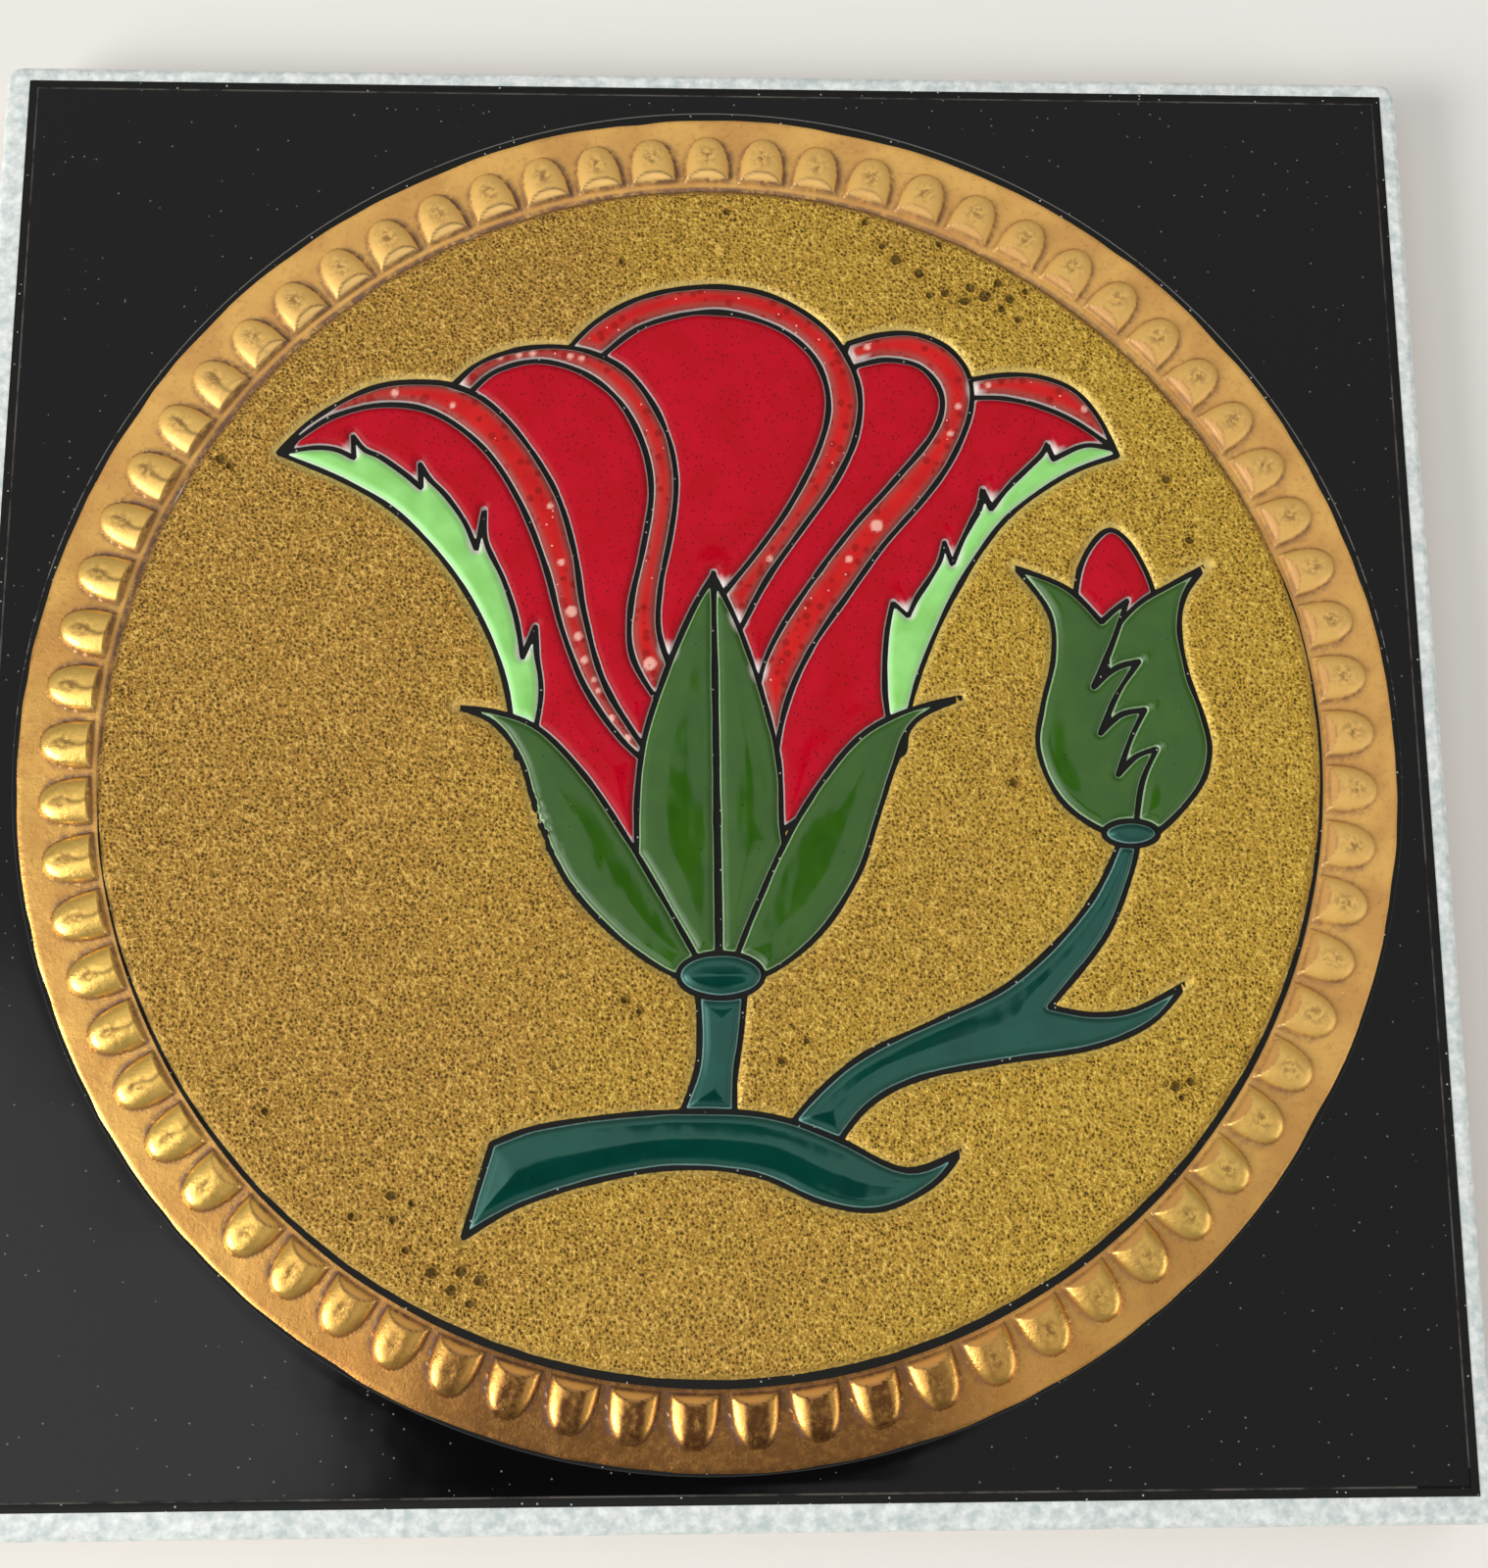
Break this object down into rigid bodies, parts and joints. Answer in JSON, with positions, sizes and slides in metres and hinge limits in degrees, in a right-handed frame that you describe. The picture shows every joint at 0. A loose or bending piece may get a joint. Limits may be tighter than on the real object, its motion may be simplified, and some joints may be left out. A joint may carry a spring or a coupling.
{
  "type": "decorative ceramic wall tile",
  "caption": "Square glazed ceramic tile with a black border, a gold gadrooned ring and a raised-line rose and bud on a gold field.",
  "frame": {"origin": "middle of the flat back face, which is the underside when the tile lies face up", "axes": "+Z out of the decorated face, through the thickness; +Y towards the top of the picture; +X to its right"},
  "size_m": [0.2, 0.2, 0.0108],
  "materials": {
    "tile_body": "pale glazed fired clay, glossy on the face, plain and matt on the back",
    "black_glaze": "glossy black glaze with a few dust specks",
    "matt_black_line": "dry matt black line between the glazes",
    "gold_ring": "satin gold lustre with brown grime in its hollows",
    "gold_field": "foamed old-gold glaze, rough and pitted",
    "crimson_glaze": "glossy crimson glaze",
    "orange_red_glaze": "glossy orange-red glaze with pale bubbles",
    "light_green_glaze": "glossy light green glaze",
    "leaf_green_glaze": "glossy leaf green glaze",
    "teal_glaze": "glossy dark teal glaze"
  },
  "bodies": {
    "root": {"tile": "tile_body"}
  },
  "joints": []
}
